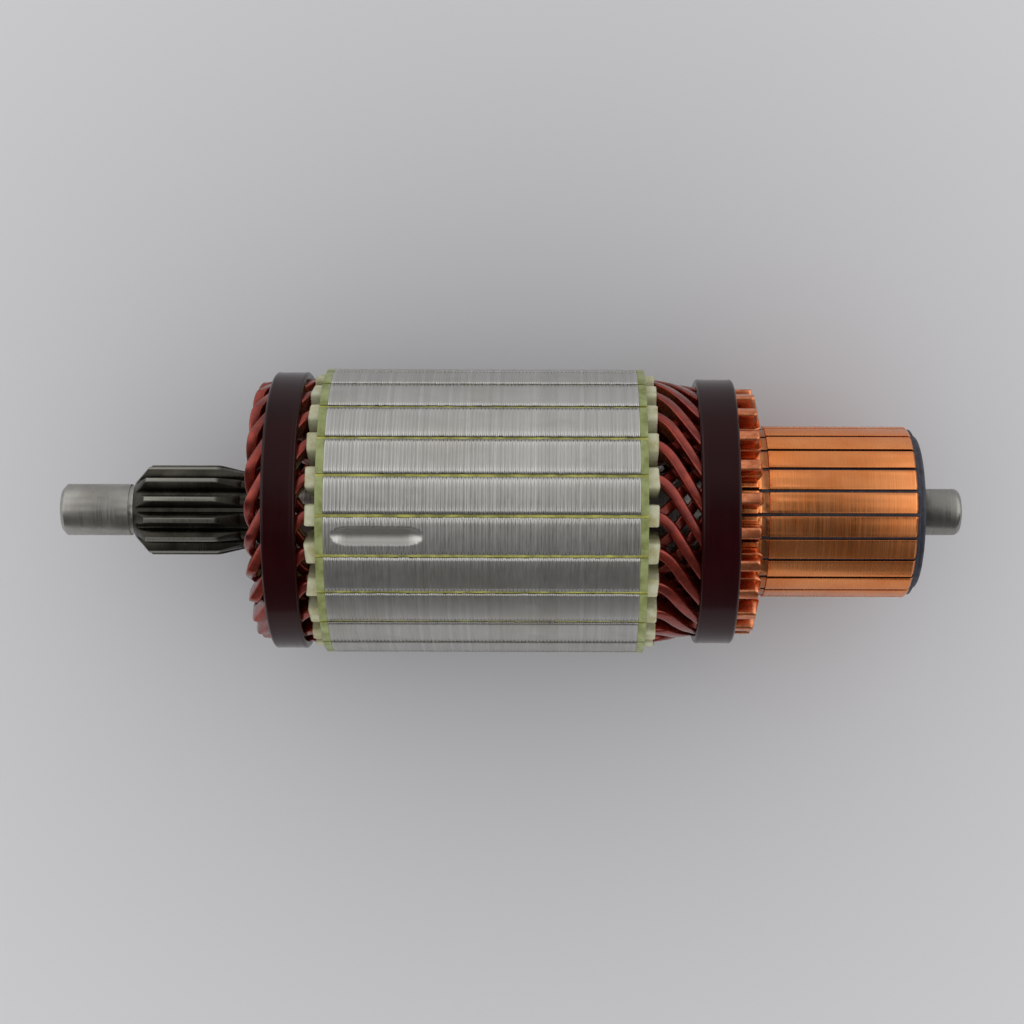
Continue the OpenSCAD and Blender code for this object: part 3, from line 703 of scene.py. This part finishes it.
def sweep_bar(route):
    """Carries the section along the route, upright on the cone that each leg follows."""
    x, r, turn, level, width, slant = route.T
    place = at(x, r, turn)
    ahead, behind = place[np.r_[1:len(x), len(x) - 1]], place[np.r_[0, 0:len(x) - 1]]
    along = unit(ahead - behind)
    out = at(0, 1, turn)
    run = np.r_[x[1:], x[-1]] - np.r_[x[0], x[:-1]]
    gained = np.r_[r[1:], r[-1]] - np.r_[r[0], r[:-1]]
    rise = gained / np.where(np.abs(run) < 0.01, 1e9, run)
    up = out.copy()
    up[:, 0] -= level * rise
    across = unit(np.cross(along, up))
    shape = bar_section()
    push = np.zeros_like(out)
    push[:, 0] = slant / (WIRE_H / 2)
    wide = shape[None, :, 0, None] * (width / WIRE_W)[:, None, None]
    high = shape[None, :, 1, None]
    return place[:, None] + wide * across[:, None] + high * (out - push)[:, None]


# %% All 23 coils
for coil in range(SLOTS):
    route = coil_route(rng.normal(0, 0.3, 3))
    rings = sweep_bar(route)
    bare = smoothstep(rings[..., 0], riser_x - 1.5, riser_x + 0.3)
    rings = around(rings, SLOT_TURN + coil * PITCH)
    piece = join_rings(f"hairpin_{coil + 1:02d}", rings, bare=bare)
    outward_faces(piece)
    finish_piece(piece, enamelled_copper, "enamelled_copper", f"coil_{coil + 1:02d}")
print("coils:", SLOTS, "of", len(piece.data.polygons), "faces")


# %% [markdown]
# ## Cuffs of the slot papers
# The paper that lines each slot is folded back into a cuff where it leaves the core. A cuff is a
# short tube with a rounded oblong section: its wall goes out along the outside, over the lip and
# back along the inside, which makes a closed ring of rings.

# %% One cuff and its copies at both ends
CUFF_W = 6.0
CUFF_TOP, CUFF_LOW = 38.8, 26.6
CUFF_WALL = 0.65
CUFF_REACH = 2.9
cuff_middle = (CUFF_TOP + CUFF_LOW) / 2


def cuff_ring(inset, steps=12):
    """Oblong with rounded corners, inset from the cuff's outside, as [across, radius]."""
    half = CUFF_W / 2 - inset
    corner = 1.1 - 0.6 * inset
    a = np.radians(np.linspace(0, 90, steps))
    c, s = corner * np.cos(a), corner * np.sin(a)
    high, low = CUFF_TOP - inset, CUFF_LOW + inset
    return np.concatenate([
        np.stack([half - corner + c, high - corner + s], 1),
        np.stack([-half + corner - s, high - corner + c], 1),
        np.stack([-half + corner - c, low + corner - s], 1),
        np.stack([half - corner + s, low + corner - c], 1)])


def cuff(seed, side, turn):
    """Outer wall, rounded lip and inner wall; the mouth leans and wavers a little by chance."""
    draw = np.random.default_rng(seed)
    length = CUFF_REACH + disc_t
    path = [[0.0, 0.02], [0.45, 0.0], [0.7, 0.0], [0.86, 0.0], [0.95, 0.06], [1.0, 0.28],
            [0.97, 0.5], [0.9, 0.62], [0.7, CUFF_WALL], [0.4, CUFF_WALL], [0.0, CUFF_WALL]]
    rings = []
    lean = draw.normal(0, 0.25, 4)
    for share, inset in path:
        ring = cuff_ring(inset)
        out = share ** 3
        around_it = np.arctan2(ring[:, 0], ring[:, 1] - cuff_middle)
        ragged = lean[0] * np.sin(around_it + lean[1])
        ragged = ragged + 0.5 * lean[2] * np.sin(2 * around_it + lean[3] * 9)
        x = length * share + out * 0.55 * ragged - out * 0.25 * (ring[:, 0] * lean[1])
        puff = 1 + 0.02 * out * lean[2]
        rings.append(np.stack([x, ring[:, 0] * puff, ring[:, 1]], 1))
    ring = np.array(rings)
    x = core_x0 - ring[..., 0] if side < 0 else core_x1 + ring[..., 0]
    return around(np.stack([x, ring[..., 1], ring[..., 2]], -1), turn)


def all_cuffs(side, name):
    """The 23 cuffs of one end as one piece of separate tubes."""
    seed = 100 if side < 0 else 200
    tubes = np.array([cuff(seed + s, side, SLOT_TURN + s * PITCH) for s in range(SLOTS)])
    count, rings, sides = tubes.shape[:3]
    quads = rings_to_faces(rings, sides, closed_path=True)
    shift = (np.arange(count) * rings * sides)[:, None, None]
    piece = add_piece(name, tubes, (quads[None] + shift).reshape(-1, 4))
    outward_faces(piece)
    return piece


left_cuffs = all_cuffs(-1, "pinion_cuffs")
right_cuffs = all_cuffs(1, "commutator_cuffs")
finish_piece(left_cuffs, slot_paper, "slot_paper", "slot_liners")
finish_piece(right_cuffs, slot_paper, "slot_paper")
print("cuffs:", len(left_cuffs.data.polygons) + len(right_cuffs.data.polygons), "faces")


# %% [markdown]
# ## Bands
# The bands are wound of resin-soaked glass cord, so they are slightly uneven and end in a small
# raised rim at each side. A closed profile is carried round the shaft.

# %% Bands
BAND_T = 2.05


def band(name, x0, x1, r1, thick, seed):
    """Rounded oblong profile with two rims, whose radius wavers slowly round the shaft."""
    draw = np.random.default_rng(seed)
    r0, f = r1 - thick, 0.9
    a = np.radians(np.linspace(0, 90, 6))
    corner0 = np.stack([x0 + f - f * np.cos(a), r1 - f + f * np.sin(a)], 1)
    corner1 = np.stack([x1 - f + f * np.sin(a), r1 - f + f * np.cos(a)], 1)
    s = np.linspace(0, 1, 14)[1:-1]
    flat = np.stack([x0 + f + (x1 - x0 - 2 * f) * s, np.full(12, r1)], 1)
    profile = np.concatenate([[[x0, r0]], corner0, flat, corner1, [[x1, r0]]])
    edge = np.minimum(profile[:, 0] - x0, x1 - profile[:, 0])
    rim = 0.12 * np.exp(-((edge - 0.75) / 0.28) ** 2) * (profile[:, 1] > r1 - 0.5)
    turn = np.linspace(0, 360, 193)[:-1]
    phase = draw.uniform(0, 360, 6)
    waver = sum(0.035 * np.sin(np.radians((k + 2) * turn + phase[k])) for k in range(4))
    tilt = sum(0.09 * np.sin(np.radians((k + 1) * turn + phase[4 + k])) for k in range(2))
    r = profile[None, :, 1] - 0.12 + rim[None] + waver[:, None] * (profile[None, :, 1] > r0 + 0.2)
    side = np.where(edge < 0.3, 1.0, 0.3)
    x = profile[None, :, 0] + tilt[:, None] * side[None]
    return join_rings(name, at(x, r, turn[:, None]), closed_path=True)


left_band = band("pinion_side_band", pinion_band_x0, pinion_band_x1, pinion_band_r, BAND_T, 31)
right_band = band("commutator_side_band", comm_band_x0, comm_band_x1, comm_band_r, BAND_T, 32)
outward_faces(left_band)
outward_faces(right_band)
finish_piece(left_band, band_glass_resin, "band_glass_resin", "pinion_band")
finish_piece(right_band, band_glass_resin, "band_glass_resin", "commutator_band")
print("bands: radius", round(pinion_band_r, 2), "and", round(comm_band_r, 2))


# %% [markdown]
# ## Pieces that keep the CAD form
# The shaft, the copper bars, the resin body and the end discs already have their true form. Real
# ones have no perfectly sharp edge, so a copy of each gets a small rounding that catches the light.

# %% Shaft, discs, moulding and bars
finish_piece(softened_copy("rotor_shaft", "shaft", 0.18), shaft_steel, "shaft_steel", "shaft")
for side in ("pinion", "commutator"):
    disc = softened_copy(f"{side}_insulating_disc", f"{side}_end_disc", 0.12)
    finish_piece(disc, end_disc_laminate, "end_disc_laminate", f"{side}_end_disc")
for number in range(1, SLOTS + 1):
    segment = softened_copy(f"copper_bar_{number:02d}", f"bar_{number:02d}", 0.14)
    finish_piece(segment, commutator_copper, "commutator_copper", f"bar_{number:02d}")
body = softened_copy("commutator_body", "commutator_moulding", 0.1)
finish_piece(body, moulding_resin, "moulding_resin", "commutator_moulding")

kept = {
    "slot_wedges": slot_wedge_laminate,
    "commutator_bush": bush_steel,
    "pinion_sleeve": sleeve_laminate,
    "commutator_sleeve": sleeve_laminate,
}
for name, finish in kept.items():
    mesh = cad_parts[name].data
    mesh.materials.clear()
    mesh.materials.append(finish)
print("kept as in the frame:", sorted(kept))


# %% [markdown]
# ## Table, light and camera
# The rotor lies on a pale table in a plain, even light. The metal mirrors a room that is dark
# overhead and towards -Y and brighter towards both ends of the shaft and towards +Y.

# %% Table
floor_z = cad_box[0][2]
floor = add_piece("table", np.array([[-2, -2, 0], [2, -2, 0], [2, 2, 0], [-2, 2, 0]]) / MM
                  + np.array([0, 0, floor_z / MM]), [[0, 1, 2, 3]])


def painted_shadow_table_finish():
    """Pale grey with a painted soft shadow that makes it darker towards the rotor."""
    finish, tree, shader = new_finish("table_white", Roughness=0.6)
    where = own_space(tree, 1, 1, 0)
    away = node(tree, "ShaderNodeVectorMath", {0: where}, operation="LENGTH").outputs["Value"]
    # painted shadow round the rotor: darker grey near it, paler farther out
    colour = blend(tree, fade(tree, away, 0.05, 0.24), srgb(200, 200, 202), srgb(224, 224, 226))
    lay(tree, shader, Base_Color=colour)
    return finish


floor.data.materials.append(painted_shadow_table_finish())


# %% Room: brightness by the direction's angle from the zenith towards -Y
def ramp_of(tree, share, stops):
    """Grey ramp over angles from -180 to 180 degrees."""
    ramp = node(tree, "ShaderNodeValToRGB", {0: share})
    band_of = ramp.color_ramp.elements
    while len(band_of) < len(stops):
        band_of.new(0.5)
    for stop, (degrees, level) in zip(band_of, stops):
        stop.position = (degrees + 180) / 360
        stop.color = (level, level, level, 1)
    return ramp.outputs[0]


def room():
    """Even light for what is dull, and grey ramps, one for the ends, for what metal mirrors."""
    world = bpy.data.worlds.new("room")
    bpy.context.scene.world = world
    world.use_nodes = True
    tree = world.node_tree
    toward = node(tree, "ShaderNodeTexCoord").outputs["Generated"]
    split = node(tree, "ShaderNodeSeparateXYZ", {0: toward}).outputs
    angle = sums(tree, "ARCTAN2", sums(tree, "MULTIPLY", split[1], -1.0), split[2])
    share = fade(tree, angle, -math.pi, math.pi)
    middle = ramp_of(tree, share, [
        (-180, 0.3), (-90, 0.3), (-30, 0.25), (-8, 0.14), (0, 0.06), (12, 0.06),
        (25, 0.03), (60, 0.05), (92, 0.1), (110, 0.4), (180, 0.4)])
    ends = ramp_of(tree, share, [
        (-180, 0.5), (-90, 0.62), (-30, 0.68), (0, 0.68), (12, 0.5), (24, 0.3),
        (40, 0.1), (66, 0.05), (92, 0.1), (110, 0.5), (180, 0.5)])
    towards_an_end = fade(tree, sums(tree, "ABSOLUTE", split[0]), 0.15, 0.6)
    mirrored = blend(tree, towards_an_end, middle, ends)
    glossy = node(tree, "ShaderNodeLightPath").outputs["Is Glossy Ray"]
    light = blend(tree, glossy, (0.4, 0.4, 0.405, 1), mirrored)
    background = tree.nodes["Background"]
    tree.links.new(light, background.inputs[0])
    background.inputs[1].default_value = 2.0


room()


# %% Camera: straight down on the rotor
view = bpy.data.cameras.new("camera")
view.lens = 72.95
view.sensor_width = 36
view.shift_x = -0.0352
view.clip_start = 0.01
camera = bpy.data.objects.new("camera", view)
camera.location = (0.01042, -0.00032, 0.596)
camera.rotation_euler = (0, 0, math.radians(0.17))
bpy.context.scene.collection.objects.link(camera)
bpy.context.scene.camera = camera
bpy.context.scene.view_settings.view_transform = "Standard"
